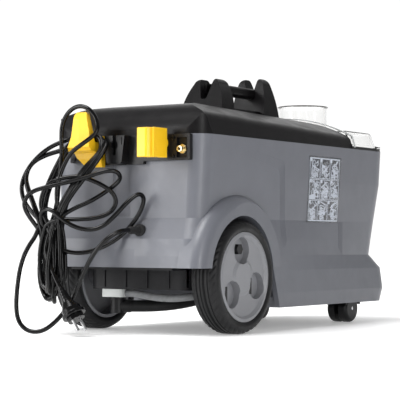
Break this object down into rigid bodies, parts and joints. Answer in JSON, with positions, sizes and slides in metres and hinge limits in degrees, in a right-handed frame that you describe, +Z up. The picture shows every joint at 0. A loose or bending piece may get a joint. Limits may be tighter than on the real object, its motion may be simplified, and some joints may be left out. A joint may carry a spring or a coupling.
{
  "type": "spray extraction carpet cleaner",
  "caption": "Wheeled spray-extraction carpet cleaner: grey tub, black cover with carrying handle, clear tank lid, yellow cable hooks and a wound mains cord.",
  "frame": {"origin": "on the floor, under the middle of the machine without its cord", "axes": "+X from the cable hooks to the clear lid, +Y to the machine's left, +Z up"},
  "size_m": [0.7758, 0.3259, 0.435],
  "materials": {
    "body_grey": "fine-grained moulded grey",
    "cover_black": "fine-grained moulded black",
    "hook_yellow": "smooth moulded yellow",
    "rim_grey": "moulded light grey",
    "tyre": "worn black rubber",
    "black_plastic": "moulded black",
    "tray_grey": "moulded dark grey",
    "clear_plastic": "clear polished",
    "film": "transparent film with white line pictures",
    "brass": "turned, plated",
    "steel": "zinc plated",
    "black_steel": "black oxide",
    "tank_plastic": "blow-moulded natural white",
    "white_plastic": "moulded off-white",
    "rubber": "soft black",
    "cord_black": "smooth black sheath",
    "hose_grey": "translucent grey hose",
    "motor_metal": "cast, satin",
    "float_orange": "smooth float"
  },
  "bodies": {
    "root": {"axle_nuts": "steel", "base_tray": "tray_grey", "body_shell": "body_grey", "cable_hook_left": "hook_yellow", "carry_handle": "cover_black", "cord_gland": "rubber", "cord_hank": "cord_black", "cord_lead": "cord_black", "cord_tail": "cord_black", "drain_elbow": "black_plastic", "drain_fitting": "white_plastic", "drain_hose": "rubber", "fill_hose": "hose_grey", "fresh_tank": "tank_plastic", "hook_plate": "black_plastic", "hose_coupling": "brass", "hose_ports": "black_plastic", "label_film": "film", "motor_deck": "black_plastic", "motor_seal": "rubber", "nozzle_bracket": "black_plastic", "plate_screws": "black_steel", "plug_body": "cord_black", "plug_pins": "steel", "plug_relief": "cord_black", "pressure_hose": "rubber", "pump": "black_plastic", "pump_inlet_hose": "hose_grey", "rear_axle": "steel", "rocker_pins": "steel", "suction_socket": "black_plastic", "tank_cap": "black_plastic", "tank_filter": "white_plastic", "terminal_box": "black_plastic", "top_cover": "cover_black", "tray_screws": "steel", "vacuum_motor": "motor_metal"},
    "turning_hook": {"cable_hook_right": "hook_yellow"},
    "caster_left_fork": {"caster_left_hood": "black_plastic", "caster_left_pin": "steel"},
    "caster_left_roller": {"caster_left_wheels": "black_plastic"},
    "caster_right_fork": {"caster_right_hood": "black_plastic", "caster_right_pin": "steel"},
    "caster_right_roller": {"caster_right_wheels": "black_plastic"},
    "lid": {"clear_lid": "clear_plastic", "float_cage": "black_plastic", "lid_gasket": "rubber"},
    "tank": {"dirty_tank": "black_plastic"},
    "float_valve": {"float_ball": "float_orange"},
    "rocker_spray": {"rocker_left": "hook_yellow"},
    "rocker_vacuum": {"rocker_right": "hook_yellow"},
    "wheel_left": {"wheel_left_plug": "black_plastic", "wheel_left_rim": "rim_grey", "wheel_left_tyre": "tyre"},
    "wheel_right": {"wheel_right_plug": "black_plastic", "wheel_right_rim": "rim_grey", "wheel_right_tyre": "tyre"}
  },
  "joints": [
    {"name": "wheel_left_spin", "type": "hinge", "parent": "root", "child": "wheel_left", "pos_m": [-0.1955, 0.135, 0.09], "axis": [0, 1, 0], "continuous": true},
    {"name": "caster_left_swivel", "type": "hinge", "parent": "root", "child": "caster_left_fork", "pos_m": [0.257, 0.094, 0.07], "axis": [0, 0, 1], "continuous": true},
    {"name": "caster_left_roll", "type": "hinge", "parent": "caster_left_fork", "child": "caster_left_roller", "pos_m": [0.245, 0.094, 0.025], "axis": [0, 1, 0], "continuous": true},
    {"name": "wheel_right_spin", "type": "hinge", "parent": "root", "child": "wheel_right", "pos_m": [-0.1955, -0.135, 0.09], "axis": [0, 1, 0], "continuous": true},
    {"name": "caster_right_swivel", "type": "hinge", "parent": "root", "child": "caster_right_fork", "pos_m": [0.257, -0.094, 0.07], "axis": [0, 0, 1], "continuous": true},
    {"name": "caster_right_roll", "type": "hinge", "parent": "caster_right_fork", "child": "caster_right_roller", "pos_m": [0.245, -0.094, 0.025], "axis": [0, 1, 0], "continuous": true},
    {"name": "cable_hook_turn", "type": "hinge", "parent": "root", "child": "turning_hook", "pos_m": [-0.308, -0.076, 0.2975], "axis": [1, 0, 0], "range_deg": [0, 180]},
    {"name": "spray_switch", "type": "hinge", "parent": "root", "child": "rocker_spray", "pos_m": [-0.168, 0.048, 0.343], "axis": [0, 1, 0], "range_deg": [-16, 0]},
    {"name": "vacuum_switch", "type": "hinge", "parent": "root", "child": "rocker_vacuum", "pos_m": [-0.168, -0.048, 0.343], "axis": [0, 1, 0], "range_deg": [-16, 0]},
    {"name": "tank_lift", "type": "slide", "parent": "root", "child": "tank", "axis": [0, 0, 1], "range_m": [0, 0.11]},
    {"name": "lid_lift", "type": "slide", "parent": "tank", "child": "lid", "axis": [0, 0, 1], "range_m": [0, 0.09]},
    {"name": "float_travel", "type": "slide", "parent": "lid", "child": "float_valve", "axis": [0, 0, 1], "range_m": [0, 0.03]}
  ]
}
